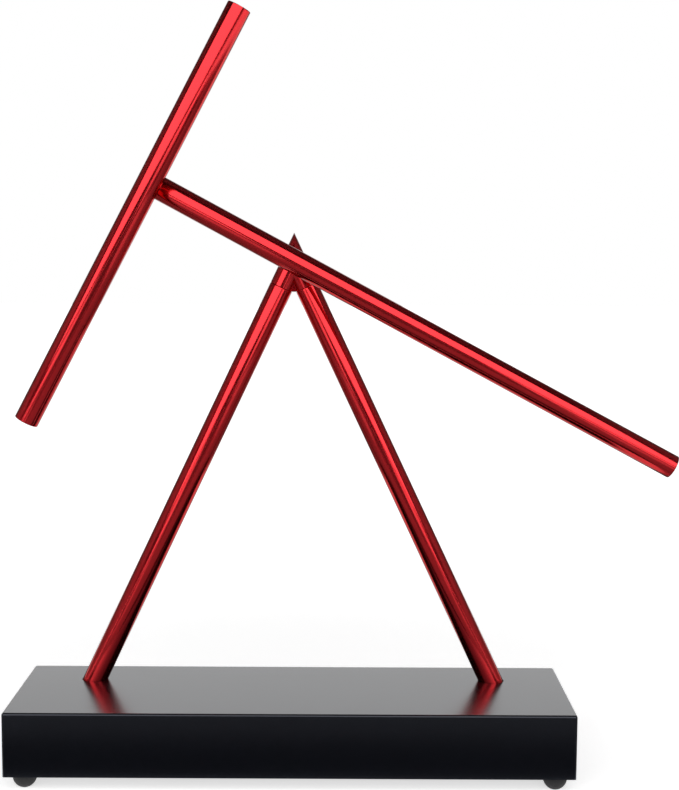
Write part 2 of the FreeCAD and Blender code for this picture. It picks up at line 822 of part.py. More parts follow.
def inner_race(y, x=0.0):
    half = bearing_width / 2
    return cross_pipe(race_inner_radius, shaft_radius + shaft_fit, y - half, y + half, x).cut(groove(y, x))


def race_balls(y, x=0.0):
    reach = ball_circle_radius
    turns = [2 * math.pi * i / ball_count for i in range(ball_count)]
    return [Part.makeSphere(ball_radius, V(x + reach * math.cos(a), y, reach * math.sin(a))) for a in turns]


def clip_groove(spacing):
    """Limits in Y of the clip on a shaft whose bearings sit spacing behind the arm."""
    start = spacing + bearing_face + shim_thickness
    return start, start + clip_thickness


def pivot_shaft(spacing):
    """Shaft fixed in an arm, grooved for its clip."""
    start, end = clip_groove(spacing)
    shaft = cross_rod(shaft_radius, -shaft_bite, end + shaft_end)
    tail = [e for e in shaft.Edges if e.BoundBox.YMin > end]
    shaft = shaft.makeChamfer(shaft_chamfer, tail)
    return shaft.cut(cross_pipe(shaft_radius + PAST, clip_groove_radius, start - clip_play, end + clip_play))


def pivot_sleeve(spacing):
    """Stand-off between an arm and the bearing behind it: coped to the arm, stepped at the inner ring."""
    step = spacing - tube_radius - sleeve_clearance
    thick = cross_rod(sleeve_radius, 0, step)
    nose = cross_rod(race_inner_radius, step - OVERLAP, spacing - bearing_face)
    bore = cross_rod(shaft_radius + shaft_fit, 0, spacing)
    cope = rod(tube_radius + shaft_fit, V(-FAR, 0, 0), V(FAR, 0, 0))
    return fused([thick, nose]).cut([bore, cope])


def race_spacer(spacing):
    """Tube between the two inner rings."""
    land = bearing_face - bearing_width
    return cross_pipe(race_inner_radius, shaft_radius + shaft_fit, spacing - land, spacing + land)


def shim_washer(spacing):
    face = spacing + bearing_face
    return cross_pipe(race_inner_radius, shaft_radius + shaft_fit, face, face + shim_thickness)


def shaft_clip(spacing):
    """Open ring that snaps into the groove of a shaft."""
    start, end = clip_groove(spacing)
    ring = cross_pipe(clip_radius, clip_groove_radius + shaft_fit, start, end)
    mouth = block(-clip_mouth / 2, clip_mouth / 2, start - PAST, end + PAST, 0, clip_radius + PAST)
    return ring.cut(mouth)


def arm_hub():
    """Solid insert inside an arm at its pivot, tapped from behind for the shaft."""
    hub = rod(insert_radius, V(-insert_length / 2, 0, 0), V(insert_length / 2, 0, 0))
    return hub.cut(cross_rod(shaft_radius + shaft_fit, -shaft_bite - pilot_depth, tube_radius))


# ---- arms, each in its own frame -----------------------------------------------------------------

def arm_tube(start, end):
    """Arm tube from start to end, its pivot hole drilled through the rear wall only."""
    tube = pipe(tube_radius, tube_bore, V(start, 0, 0), V(end, 0, 0))
    rims = [e for e in tube.Edges if e.Curve.TypeId == "Part::GeomCircle" and e.Curve.Radius > tube_bore]
    tube = tube.makeFillet(tube_end_round, rims)
    return tube.cut(cross_rod(shaft_radius + screw_clearance, 0, tube_radius + PAST))


def end_plug(end):
    """Plug that closes an arm, its face a little inside the tube; end is where that tube stops."""
    way = 1 if end > 0 else -1
    face = end - way * tube_end_round
    return rod(insert_radius, V(face, 0, 0), V(face - way * end_plug_length, 0, 0))


def long_arm_tube():
    tube = arm_tube(-joint_reach - long_tail, long_reach)
    return tube.cut(bearing_bore(0.0, -joint_reach))


def drive_magnet():
    """Magnet behind the plug at the tip of the long arm."""
    back = long_reach - tube_end_round - end_plug_length
    return rod(magnet_radius, V(back - magnet_length, 0, 0), V(back, 0, 0))


def magnet_cup():
    """Liner that holds the magnet in the middle of the tube."""
    back = long_reach - tube_end_round - end_plug_length
    cup = rod(insert_radius, V(back - magnet_length - cup_floor, 0, 0), V(back, 0, 0))
    return cup.cut(rod(magnet_radius + shaft_fit, V(back - magnet_length, 0, 0), V(back, 0, 0)))


def bearing_block():
    """Solid tail of the long arm that holds the short arm's bearings."""
    outer = -joint_reach - long_tail + tube_end_round
    solid = rod(insert_radius, V(outer, 0, 0), V(-joint_reach + insert_length / 2, 0, 0))
    return solid.cut(bearing_bore(0.0, -joint_reach))


# ---- all nodes -----------------------------------------------------------------------------------

def driven_hardware(prefix, spacing, put):
    """Pieces that turn with an arm in the bearings behind it."""
    return {
        prefix + "_shaft": [put(pivot_shaft(spacing))],
        prefix + "_sleeve": [put(pivot_sleeve(spacing))],
        prefix + "_inner_races": [put(inner_race(y)) for y in bearing_middles(spacing)],
        prefix + "_race_spacer": [put(race_spacer(spacing))],
        prefix + "_shim": [put(shim_washer(spacing))],
        prefix + "_clip": [put(shaft_clip(spacing))],
    }


def base_nodes():
    return {
        "base_shell": [base_shell()],
        "bottom_plate": [bottom_plate()],
        "plate_screws": plate_screws(),
        "rubber_feet": rubber_feet(),
        "battery_door": [battery_door()],
        "battery_box": [battery_box()],
        "battery_cells": battery_cells(),
        "contact_plates": contact_plates(),
        "contact_springs": contact_springs(),
        "circuit_board": [circuit_board()],
        "board_spacers": board_spacers(),
        "board_screws": board_screws(),
        "coil_bobbin": [coil_bobbin()],
        "sense_winding": [winding(coil_core_radius + winding_gap, sense_radius)],
        "drive_winding": [winding(sense_radius + winding_gap, drive_radius)],
        "coil_pins": coil_pins(),
        "storage_capacitor": [storage_capacitor()],
        "driver_chip": [driver_chip()],
        "drive_transistor": [drive_transistor()],
        "resistors": resistors(),
        "positive_lead": [battery_lead(lead_middle_y + lead_spacing / 2)],
        "negative_lead": [battery_lead(lead_middle_y - lead_spacing / 2)],
    }


def frame_nodes():
    return {
        "left_leg_tube": [leg_tube(-1)],
        "right_leg_tube": [leg_tube(1)],
        "leg_plugs": [leg_plug(-1), leg_plug(1)],
        "leg_bolts": [leg_bolt(-1), leg_bolt(1)],
        "leg_washers": [leg_washer(-1), leg_washer(1)],
        "apex_connector": [apex_connector()],
        "main_outer_races": [placed(outer_race(y), pivot) for y in bearing_middles(0.0)],
        "main_balls": [placed(ball, pivot) for y in bearing_middles(0.0) for ball in race_balls(y)],
    }


def long_arm_nodes():
    nodes = {
        "long_arm_tube": [on_long_arm(long_arm_tube())],
        "long_arm_hub": [on_long_arm(arm_hub())],
        "long_arm_tip_plug": [on_long_arm(end_plug(long_reach))],
        "drive_magnet": [on_long_arm(drive_magnet())],
        "magnet_cup": [on_long_arm(magnet_cup())],
        "bearing_block": [on_long_arm(bearing_block())],
        "short_outer_races": [on_long_arm(outer_race(y, -joint_reach)) for y in bearing_middles(0.0)],
        "short_balls": [
            on_long_arm(ball) for y in bearing_middles(0.0) for ball in race_balls(y, -joint_reach)],
    }
    nodes.update(driven_hardware("main", main_spacing, on_long_arm))
    return nodes


def short_arm_nodes():
    nodes = {
        "short_arm_tube": [on_short_arm(arm_tube(-short_up, short_down))],
        "short_arm_hub": [on_short_arm(arm_hub())],
        "short_arm_plugs": [on_short_arm(end_plug(-short_up)), on_short_arm(end_plug(short_down))],
    }
    nodes.update(driven_hardware("short", short_spacing, on_short_arm))
    return nodes


def main():
    os.makedirs("parts", exist_ok=True)
    for group in (base_nodes(), frame_nodes(), long_arm_nodes(), short_arm_nodes()):
        for name, shapes in group.items():
            solids = solids_of(shapes)
            shape = solids[0] if len(solids) == 1 else Part.makeCompound(solids)
            bad = [i for i, s in enumerate(solids) if not s.isValid() or s.Volume <= 0]
            print(f"{name:20s} {len(solids):3d} solids {shape.Volume:12.2f} mm3 {'BAD' if bad else ''}")
            shape.exportStep(f"parts/{name}.step")


main()
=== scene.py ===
import json
import logging
import math
from dataclasses import dataclass, field
from enum import Enum
from typing import Optional

import bmesh
import bpy
from mathutils import Euler, Matrix, Vector


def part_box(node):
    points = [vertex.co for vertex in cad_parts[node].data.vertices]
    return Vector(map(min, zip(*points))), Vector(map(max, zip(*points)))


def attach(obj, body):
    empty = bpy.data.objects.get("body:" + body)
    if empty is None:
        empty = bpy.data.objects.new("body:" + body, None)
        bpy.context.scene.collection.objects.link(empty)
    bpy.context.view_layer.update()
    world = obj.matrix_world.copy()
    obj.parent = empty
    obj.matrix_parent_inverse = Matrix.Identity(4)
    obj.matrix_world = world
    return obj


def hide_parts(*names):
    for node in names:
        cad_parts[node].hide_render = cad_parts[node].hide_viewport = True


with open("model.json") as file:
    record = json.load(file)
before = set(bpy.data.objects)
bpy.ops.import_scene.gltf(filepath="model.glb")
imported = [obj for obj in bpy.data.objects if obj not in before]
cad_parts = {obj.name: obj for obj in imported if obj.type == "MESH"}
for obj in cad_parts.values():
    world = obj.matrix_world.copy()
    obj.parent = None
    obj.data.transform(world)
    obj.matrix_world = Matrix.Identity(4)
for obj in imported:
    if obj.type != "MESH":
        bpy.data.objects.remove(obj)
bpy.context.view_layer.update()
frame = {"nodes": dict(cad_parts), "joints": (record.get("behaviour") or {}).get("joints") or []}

LOG = logging.getLogger("double_pendulum")

Rgb = tuple[float, float, float]


class Body(Enum):
    """Rigid bodies of the sculpture."""

    BASE = "base"
    COVER = "battery_cover"
    LONG = "long_arm"
    SHORT = "short_arm"


class Detail(Enum):
    """Which pattern a finish carries on top of its grain."""

    PLAIN = "plain"
    DRAWN = "drawn"
    WOUND = "wound"
    TURNED = "turned"
    BANDED = "banded"


@dataclass(frozen=True)
class Finish:
    """One surface finish, from its colour to the size of its finest marks.

    Attributes:
        name: Name of the Blender material.
        colour: Main colour, linear.
        second: Colour that the variation and the pattern run to; on a wound finish the pattern paints shade into the
            grooves between the turns.
        metallic: 0 for a dielectric, 1 for a metal.
        roughness: Mean roughness.
        spread: How far the roughness wanders from its mean.
        grain: Grain frequency per metre.
        bump: Height of the grain in metres.
        variation: Share of the second colour in the blotches.
        detail: Pattern carried on top.
        pitch: Distance between the pattern's lines in metres.
        edge_tint: Specular tint, which colours a metal's edges and dims a lacquer seen face on.
        ior: Refractive index of a dielectric.
        coat: Weight of a clear coat.
        coat_roughness: Roughness of that coat.
        wear: Share of the edges that is rubbed to the second colour.
    """

    name: str
    colour: Rgb
    second: Rgb
    metallic: float = 0.0
    roughness: float = 0.5
    spread: float = 0.08
    grain: float = 900.0
    bump: float = 0.00001
    variation: float = 0.3
    detail: Detail = Detail.PLAIN
    pitch: float = 0.0006
    edge_tint: Optional[Rgb] = None
    ior: float = 1.5
    coat: float = 0.0
    coat_roughness: float = 0.1
    wear: float = 0.0


class Wiring:
    """Adds and joins the nodes of one material, world or group."""

    def __init__(self, tree: bpy.types.NodeTree) -> None:
        """Starts on a node tree.

        Args:
            tree: The tree to add to.
        """
        self.tree = tree

    def node(self, kind: str, **settings: object) -> bpy.types.Node:
        """Adds a node and sets its properties.

        Args:
            kind: Node type without the ShaderNode prefix.
            **settings: Properties to set.

        Returns:
            The new node.
        """
        made = self.tree.nodes.new("ShaderNode" + kind)
        for key, value in settings.items():
            setattr(made, key, value)
        return made

    def feed(self, target: bpy.types.NodeSocket, source: object) -> None:
        """Sets a socket to a value, or joins it to another socket.

        Args:
            target: Input socket.
            source: Output socket or plain value.
        """
        if isinstance(source, bpy.types.NodeSocket):
            self.tree.links.new(source, target)
        elif isinstance(source, tuple) and len(source) == 3 and target.type == "RGBA":
            target.default_value = (*source, 1.0)
        else:
            target.default_value = source

    def maths(self, operation: str, *values: object, clamp: bool = False) -> bpy.types.NodeSocket:
        """Adds a Math node.

        Args:
            operation: Name of the operation.
            *values: Its inputs, plain or sockets.
            clamp: Whether to keep the result between 0 and 1.

        Returns:
            The value.
        """
        made = self.node("Math", operation=operation, use_clamp=clamp)
        for target, value in zip(made.inputs, values):
            self.feed(target, value)
        return made.outputs[0]

    def blend(self, factor: object, first: object, second: object) -> bpy.types.NodeSocket:
        """Mixes two colours.

        Args:
            factor: 0 for the first, 1 for the second.
            first: First colour.
            second: Second colour.

        Returns:
            The mixed colour.
        """
        made = self.node("Mix", data_type="RGBA")
        for name, value in (("Factor", factor), ("A", first), ("B", second)):
            kind = "VALUE" if name == "Factor" else "RGBA"
            target = next(s for s in made.inputs if s.name == name and s.type == kind)
            self.feed(target, value)
        return next(s for s in made.outputs if s.type == "RGBA")

    def ramp(self, value: object, low: float, high: float, start: float = 0.0,
             end: float = 1.0) -> bpy.types.NodeSocket:
        """Maps a range smoothly to another.

        Args:
            value: Value to map.
            low: Lower limit of the range.
            high: Upper limit of the range.
            start: Result at the lower limit.
            end: Result at the upper limit.

        Returns:
            The mapped value.
        """
        made = self.node("MapRange", interpolation_type="SMOOTHSTEP")
        for target, entry in zip(made.inputs, (value, low, high, start, end)):
            self.feed(target, entry)
        return made.outputs[0]


def new_group(name: str, inputs: dict[str, tuple[str, object]], outputs: dict[str, str]) -> Wiring:
    """Makes a shader group with named sockets.

    Args:
        name: Name of the group.
        inputs: Socket name to its type and default.
        outputs: Socket name to its type.

    Returns:
        Wiring on the group's tree, with its two end nodes added first.
    """
    tree = bpy.data.node_groups.new(name, "ShaderNodeTree")
    for label, (kind, default) in inputs.items():
        socket = tree.interface.new_socket(label, in_out="INPUT", socket_type=kind)
        socket.default_value = default
    for label, kind in outputs.items():
        tree.interface.new_socket(label, in_out="OUTPUT", socket_type=kind)
    tree.nodes.new("NodeGroupInput")
    tree.nodes.new("NodeGroupOutput")
    return Wiring(tree)


FLOAT, COLOUR, VECTOR = "NodeSocketFloat", "NodeSocketColor", "NodeSocketVector"


class SharedEffects:
    """Node groups that several finishes use."""

    broad_share = 0.04
    broad_range = (0.35, 0.68)
    rim_range = (0.52, 0.60)
    patch_frequency = 260.0
    patch_range = (0.42, 0.62)
    smudge_swirl = 0.8
    smudge_range = (0.3, 0.7, -1.0, 1.0)

    def __init__(self) -> None:
        """Builds every group once."""
        self.grain = self.build_grain()
        self.wear = self.build_wear()
        self.smudge = self.build_smudge()

    @staticmethod
    def ends(wiring: Wiring) -> tuple[bpy.types.NodeOutputs, bpy.types.NodeInputs]:
        """Returns a group's own inputs and outputs as sockets."""
        return wiring.tree.nodes["Group Input"].outputs, wiring.tree.nodes["Group Output"].inputs

    def build_grain(self) -> bpy.types.NodeTree:
        """Fine surface grain in two sizes.

        Returns:
            Group with a height and a mask.
        """
        w = new_group("fine_grain", {"Vector": (VECTOR, (0.0, 0.0, 0.0)), "Frequency": (FLOAT, 900.0)},
                      {"Height": FLOAT, "Mask": FLOAT})
        given, result = self.ends(w)
        fine = w.node("TexNoise")
        w.feed(fine.inputs["Vector"], given["Vector"])
        w.feed(fine.inputs["Scale"], given["Frequency"])
        w.feed(fine.inputs["Detail"], 3.0)
        broad = w.node("TexNoise")
        w.feed(broad.inputs["Vector"], given["Vector"])
        w.feed(broad.inputs["Scale"], w.maths("MULTIPLY", given["Frequency"], self.broad_share))
        w.feed(broad.inputs["Detail"], 4.0)
        w.feed(result["Height"], fine.outputs[0])
        w.feed(result["Mask"], w.ramp(broad.outputs[0], *self.broad_range))
        return w.tree

    def build_wear(self) -> bpy.types.NodeTree:
        """Rubbed edges, broken up by noise.

        Returns:
            Group with a mask.
        """
        w = new_group("edge_wear", {"Vector": (VECTOR, (0.0, 0.0, 0.0)), "Amount": (FLOAT, 0.3)}, {"Mask": FLOAT})
        given, result = self.ends(w)
        point = w.node("NewGeometry")
        rim = w.ramp(point.outputs["Pointiness"], *self.rim_range)
        patch = w.node("TexNoise")
        w.feed(patch.inputs["Vector"], given["Vector"])
        w.feed(patch.inputs["Scale"], self.patch_frequency)
        w.feed(patch.inputs["Detail"], 5.0)
        broken = w.ramp(patch.outputs[0], *self.patch_range)
        w.feed(result["Mask"], w.maths("MULTIPLY", w.maths("MULTIPLY", rim, broken), given["Amount"], clamp=True))
        return w.tree

    def build_smudge(self) -> bpy.types.NodeTree:
        """Faint handling marks that change only the roughness.

        Returns:
            Group with a value from -1 to 1.
        """
        w = new_group("smudge", {"Vector": (VECTOR, (0.0, 0.0, 0.0)), "Frequency": (FLOAT, 45.0)}, {"Value": FLOAT})
        given, result = self.ends(w)
        cloud = w.node("TexNoise")
        w.feed(cloud.inputs["Vector"], given["Vector"])
        w.feed(cloud.inputs["Scale"], given["Frequency"])
        w.feed(cloud.inputs["Detail"], 6.0)
        w.feed(cloud.inputs["Distortion"], self.smudge_swirl)
        w.feed(result["Value"], w.ramp(cloud.outputs[0], *self.smudge_range))
        return w.tree


@dataclass
class Line:
    """Place and direction of a round piece, for patterns that follow it."""

    origin: Vector
    direction: Vector

    def turn(self) -> Euler:
        """Rotation that lays the direction along X."""
        return self.direction.to_track_quat("X", "Z").inverted().to_euler()


class Paintshop:
    """Makes materials from finishes."""

    line_stretch = 0.02
    wave_unit = 0.314
    wave_wobble = 0.2
    grain_share = 0.3
    band_print_and_groove_shade_share = 0.7

    def __init__(self) -> None:
        """Builds the shared groups."""
        self.effects = SharedEffects()
        self.made: dict[str, bpy.types.Material] = {}

    def group(self, w: Wiring, tree: bpy.types.NodeTree, **values: object) -> bpy.types.Node:
        """Places a shared group in a material.

        Args:
            w: Wiring of the material.
            tree: The group.
            **values: Its inputs.

        Returns:
            The group node.
        """
        made = w.node("Group", node_tree=tree)
        for key, value in values.items():
            w.feed(made.inputs[key], value)
        return made

    def local(self, w: Wiring, line: Optional[Line]) -> bpy.types.NodeSocket:
        """Object coordinates, laid along a piece if its line is given.

        Args:
            w: Wiring of the material.
            line: Line of the piece, if its pattern follows it.

        Returns:
            The coordinates.
        """
        place = w.node("TexCoord").outputs["Object"]
        if line is None:
            return place
        shift = w.node("Mapping", vector_type="POINT")
        w.feed(shift.inputs["Vector"], place)
        shift.inputs["Location"].default_value = -line.origin
        turn = w.node("Mapping", vector_type="POINT")
        w.feed(turn.inputs["Vector"], shift.outputs[0])
        turn.inputs["Rotation"].default_value = line.turn()
        return turn.outputs[0]

    def pattern(self, w: Wiring, finish: Finish, place: bpy.types.NodeSocket) -> Optional[bpy.types.NodeSocket]:
        """The finish's own pattern as a height from 0 to 1.

        Args:
            w: Wiring of the material.
            finish: The finish.
            place: Coordinates.

        Returns:
            The height, or None for a plain finish.
        """
        if finish.detail is Detail.PLAIN:
            return None
        if finish.detail is Detail.DRAWN:
            squeeze = w.node("Mapping", vector_type="POINT")
            w.feed(squeeze.inputs["Vector"], place)
            squeeze.inputs["Scale"].default_value = (self.line_stretch, 1.0, 1.0)
            lines = w.node("TexNoise")
            w.feed(lines.inputs["Vector"], squeeze.outputs[0])
            w.feed(lines.inputs["Scale"], 1.0 / finish.pitch)
            w.feed(lines.inputs["Detail"], 4.0)
            return lines.outputs[0]
        axis = "Z" if finish.detail is Detail.WOUND else "X"
        wave = w.node("TexWave", wave_type="BANDS", bands_direction=axis, wave_profile="SIN")
        w.feed(wave.inputs["Vector"], place)
        w.feed(wave.inputs["Scale"], self.wave_unit / finish.pitch)
        w.feed(wave.inputs["Distortion"], self.wave_wobble)
        return wave.outputs["Fac"]

    def material(self, finish: Finish, line: Optional[Line] = None, key: str = "") -> bpy.types.Material:
        """Makes or reuses the material of a finish.

        Args:
            finish: The finish.
            line: Line of the piece, if the pattern follows it.
            key: Suffix that tells apart materials of one finish on several lines.

        Returns:
            The material.
        """
        name = finish.name + key
        if name in self.made:
            return self.made[name]
        made = bpy.data.materials.new(name)
        made.use_nodes = True
        made.node_tree.nodes.clear()
        w = Wiring(made.node_tree)
        shader, out = w.node("BsdfPrincipled"), w.node("OutputMaterial")
        w.feed(out.inputs["Surface"], shader.outputs[0])
        place = self.local(w, line)
        grain = self.group(w, self.effects.grain, Vector=place, Frequency=finish.grain)
        smudge = self.group(w, self.effects.smudge, Vector=place)
        colour = w.blend(w.maths("MULTIPLY", grain.outputs["Mask"], finish.variation), finish.colour, finish.second)
        height = grain.outputs["Height"]
        shape = self.pattern(w, finish, place)
        if shape is not None:
            height = w.maths("ADD", w.maths("MULTIPLY", height, self.grain_share), shape)
            # A wound pattern paints shade into the grooves between the turns; a banded one lays printed colour bands.
            if finish.detail in (Detail.WOUND, Detail.BANDED):
                band_print_and_groove_shade = w.maths("MULTIPLY", w.ramp(shape, 0.0, 0.5, 1.0, 0.0), self.band_print_and_groove_shade_share)
                colour = w.blend(band_print_and_groove_shade, colour, finish.second)
        if finish.wear > 0:
            worn = self.group(w, self.effects.wear, Vector=place, Amount=finish.wear)
            colour = w.blend(worn.outputs["Mask"], colour, finish.second)
        rough = w.maths("MULTIPLY_ADD", smudge.outputs["Value"], finish.spread * 0.5, finish.roughness)
        rough = w.maths("MULTIPLY_ADD", w.maths("SUBTRACT", height, 0.5), finish.spread, rough, clamp=True)
        bump = w.node("Bump")
        w.feed(bump.inputs["Height"], height)
        w.feed(bump.inputs["Distance"], finish.bump)
        w.feed(bump.inputs["Strength"], 1.0)
        w.feed(shader.inputs["Base Color"], colour)
        w.feed(shader.inputs["Roughness"], rough)
        w.feed(shader.inputs["Normal"], bump.outputs[0])
        shader.inputs["Metallic"].default_value = finish.metallic
        shader.inputs["IOR"].default_value = finish.ior
        shader.inputs["Coat Weight"].default_value = finish.coat
        shader.inputs["Coat Roughness"].default_value = finish.coat_roughness
        if finish.edge_tint is not None:
            shader.inputs["Specular Tint"].default_value = (*finish.edge_tint, 1.0)
        self.made[name] = made
        return made

    def dress(self, node: str, finish: Finish, line: Optional[Line] = None, key: str = "") -> None:
        """Gives a CAD node a finish.

        Args:
            node: Name of the node.
            finish: The finish.
            line: Line of the piece, if the pattern follows it.
            key: Suffix for the material's name.
        """
        held = frame["nodes"][node]
        paint = self.material(finish, line, key)
        if not held.material_slots:
            held.data.materials.append(paint)
        for slot in held.material_slots:
            slot.material = paint
        LOG.info("dressed %s in %s", node, paint.name)


RED = Finish("red_anodising", (0.68, 0.007, 0.014), (0.56, 0.004, 0.008), metallic=1.0, roughness=0.13, spread=0.05,
             coat=0.6, coat_roughness=0.10,
             grain=2600.0, bump=0.0000006, variation=0.35, detail=Detail.DRAWN, pitch=0.00035,
             edge_tint=(0.16, 0.02, 0.03))
LACQUER = Finish("black_lacquer", (0.0005, 0.0008, 0.002), (0.001, 0.0014, 0.003), roughness=0.24, spread=0.012,
                 grain=1500.0, bump=0.0000015, variation=0.5, edge_tint=(0.14, 0.16, 0.24), ior=1.8,
                 coat=0.6, coat_roughness=0.22, wear=0.1)
RUBBER = Finish("black_rubber", (0.004, 0.004, 0.005), (0.012, 0.012, 0.012), roughness=0.62, spread=0.15, grain=2200.0,
                bump=0.00002, variation=0.5)
MOULDED = Finish("moulded_black", (0.018, 0.018, 0.020), (0.035, 0.035, 0.037), roughness=0.55, spread=0.12,
                 grain=3000.0, bump=0.00003, variation=0.4, wear=0.3)
BARE = Finish("bare_aluminium", (0.78, 0.79, 0.80), (0.62, 0.63, 0.65), metallic=1.0, roughness=0.28, spread=0.12,
              grain=1800.0, bump=0.000002, variation=0.5, detail=Detail.TURNED, pitch=0.0003)
STEEL = Finish("ground_steel", (0.60, 0.61, 0.63), (0.42, 0.43, 0.45), metallic=1.0, roughness=0.24, spread=0.1,
               grain=2400.0, bump=0.000001, variation=0.5, wear=0.4)
RACE = Finish("bearing_steel", (0.66, 0.67, 0.69), (0.5, 0.5, 0.52), metallic=1.0, roughness=0.12, spread=0.06,
              grain=2400.0, bump=0.0000005, variation=0.4)
DARK_STEEL = Finish("blackened_steel", (0.035, 0.036, 0.040), (0.16, 0.16, 0.17), metallic=0.9, roughness=0.38,
                    spread=0.12, grain=1600.0, bump=0.000004, variation=0.3, wear=0.7)
NICKEL = Finish("nickel_plate", (0.70, 0.67, 0.60), (0.50, 0.48, 0.42), metallic=1.0, roughness=0.25, spread=0.12,
                grain=1500.0, bump=0.000002, variation=0.5)
CELL = Finish("cell_sleeve", (0.05, 0.055, 0.06), (0.46, 0.20, 0.06), metallic=0.6, roughness=0.3, spread=0.08,
              grain=1200.0, bump=0.000002, variation=0.05)
BOARD = Finish("circuit_board", (0.008, 0.10, 0.04), (0.03, 0.22, 0.09), roughness=0.32, spread=0.1, grain=1400.0,
               bump=0.000006, variation=0.8, coat=0.4)
NYLON = Finish("white_nylon", (0.80, 0.79, 0.75), (0.70, 0.68, 0.62), roughness=0.45, spread=0.1, grain=1400.0,
               bump=0.000008, variation=0.5)
COPPER = Finish("enamelled_copper", (0.75, 0.26, 0.09), (0.30, 0.07, 0.02), metallic=1.0, roughness=0.25,
                spread=0.08, grain=1500.0, bump=0.00006, variation=0.3, detail=Detail.WOUND, pitch=0.0004)
SLEEVE_BLUE = Finish("capacitor_sleeve", (0.02, 0.03, 0.12), (0.03, 0.05, 0.2), roughness=0.3, spread=0.1,
                     grain=1000.0, bump=0.000004, variation=0.4, coat=0.5)
EPOXY = Finish("chip_epoxy", (0.02, 0.02, 0.021), (0.045, 0.045, 0.047), roughness=0.6, spread=0.12, grain=4000.0,
               bump=0.00001, variation=0.6)
BUFF = Finish("resistor_lacquer", (0.60, 0.42, 0.24), (0.30, 0.12, 0.05), roughness=0.35, spread=0.1, grain=1200.0,
              bump=0.000004, variation=0.3, detail=Detail.BANDED, pitch=0.0012)
RED_PVC = Finish("red_insulation", (0.55, 0.015, 0.015), (0.42, 0.01, 0.01), roughness=0.35, spread=0.08,
                 grain=1600.0, bump=0.000004, variation=0.4)
BLACK_PVC = Finish("black_insulation", (0.015, 0.015, 0.016), (0.03, 0.03, 0.03), roughness=0.35, spread=0.08,
                   grain=1600.0, bump=0.000004, variation=0.4)


def joint_point(name: str) -> Vector:
    """Place of a joint at rest.

    Args:
        name: Name of the joint.

    Returns:
        Its point in metres.
    """
    found = next(j for j in frame["joints"] if j["name"] == name)
    return Vector(found["pos_m"])


def middle(node: str) -> Vector:
    """Middle of a CAD node's box."""
    low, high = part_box(node)
    return (low + high) / 2


@dataclass
class Tube:
    """A drawn aluminium tube, spun from its wall's section.

    Attributes:
        name: Name of the piece.
        line: Its axis.
        start: Where it starts along the axis.
        end: Where it ends along the axis.
        radius: Outer radius.
        wall: Wall thickness.
        start_round: Chamfer of the outer edge at the start.
        end_round: Chamfer of the outer edge at the end.
        sides: Number of facets round it.
        round_angles: Angles of the points along a rounded edge.
        sharp_degrees: Angle from which an edge is shaded sharp.
    """

    name: str
    line: Line
    start: float
    end: float
    radius: float = 0.006
    wall: float = 0.001
    start_round: float = 0.0004
    end_round: float = 0.0004
    sides: int = 144
    round_angles: tuple[float, ...] = (0.0, 22.5, 45.0, 67.5, 90.0)
    sharp_degrees: float = 35.0

    def section(self) -> list[tuple[float, float]]:
        """Outline of the wall as places along the axis and radii."""
        inner, outer = self.radius - self.wall, self.radius
        points = [(self.start, inner)]
        for centre, turn, size in ((self.start, -1, self.start_round), (self.end, 1, self.end_round)):
            angles = self.round_angles if turn < 0 else self.round_angles[::-1]
            points += [(centre - turn * size * (1 - math.cos(math.radians(angle))),
                        outer - size + size * math.sin(math.radians(angle))) for angle in angles]
        return points + [(self.end, inner)]

    def build(self) -> bpy.types.Object:
        """Spins the section round the axis.

        Returns:
            The tube.
        """
        shape = bmesh.new()
        ring = [shape.verts.new((along, 0.0, out)) for along, out in self.section()]
        edges = [shape.edges.new(pair) for pair in zip(ring, ring[1:] + ring[:1])]
        bmesh.ops.spin(shape, geom=ring + edges, cent=(0.0, 0.0, 0.0), axis=(1.0, 0.0, 0.0), angle=math.tau,
                       steps=self.sides, use_merge=True)
        bmesh.ops.remove_doubles(shape, verts=shape.verts, dist=1e-7)
        turn = self.line.direction.to_track_quat("X", "Z").to_matrix().to_4x4()
        bmesh.ops.transform(shape, matrix=Matrix.Translation(self.line.origin) @ turn, verts=shape.verts)
        bmesh.ops.recalc_face_normals(shape, faces=shape.faces)
        for face in shape.faces:
            face.smooth = True
        for edge in shape.edges:
            edge.smooth = edge.calc_face_angle(0.0) < math.radians(self.sharp_degrees)
        mesh = bpy.data.meshes.new(self.name)
        shape.to_mesh(mesh)
        shape.free()
        held = bpy.data.objects.new(self.name, mesh)
        bpy.context.scene.collection.objects.link(held)
        return held

    def mount(self, shop: Paintshop, body: Body, node: str, finish: Finish) -> None:
        """Builds the tube in place of its CAD node.

        Args:
            shop: Paintshop for the material.
            body: Body that it moves with.
            node: CAD node that it stands for.
            finish: Its finish.
        """
        held = self.build()
        held.data.materials.append(shop.material(finish, self.line, "_" + node))
        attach(held, body.value)
        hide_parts(node)
        LOG.info("built %s for %s", self.name, node)


@dataclass
class BaseBox:
    """The black box, what is screwed into it and what the battery door covers."""

    shop: Paintshop
    plain: dict[str, Finish] = field(default_factory=lambda: {
        "base_shell": LACQUER, "rubber_feet": RUBBER, "bottom_plate": MOULDED, "battery_door": MOULDED,
        "battery_box": MOULDED, "plate_screws": DARK_STEEL, "leg_bolts": DARK_STEEL, "leg_washers": STEEL,
        "leg_plugs": BARE, "battery_cells": CELL, "contact_plates": NICKEL, "contact_springs": NICKEL,
        "circuit_board": BOARD, "board_spacers": NYLON, "board_screws": STEEL, "coil_bobbin": NYLON,
        "sense_winding": COPPER, "drive_winding": COPPER, "coil_pins": NICKEL, "storage_capacitor": SLEEVE_BLUE,
        "driver_chip": EPOXY, "drive_transistor": EPOXY, "resistors": BUFF, "positive_lead": RED_PVC,
        "negative_lead": BLACK_PVC})

    def build(self) -> None:
        """Dresses every node of the base and its cover."""
        for node, finish in self.plain.items():
            self.shop.dress(node, finish)


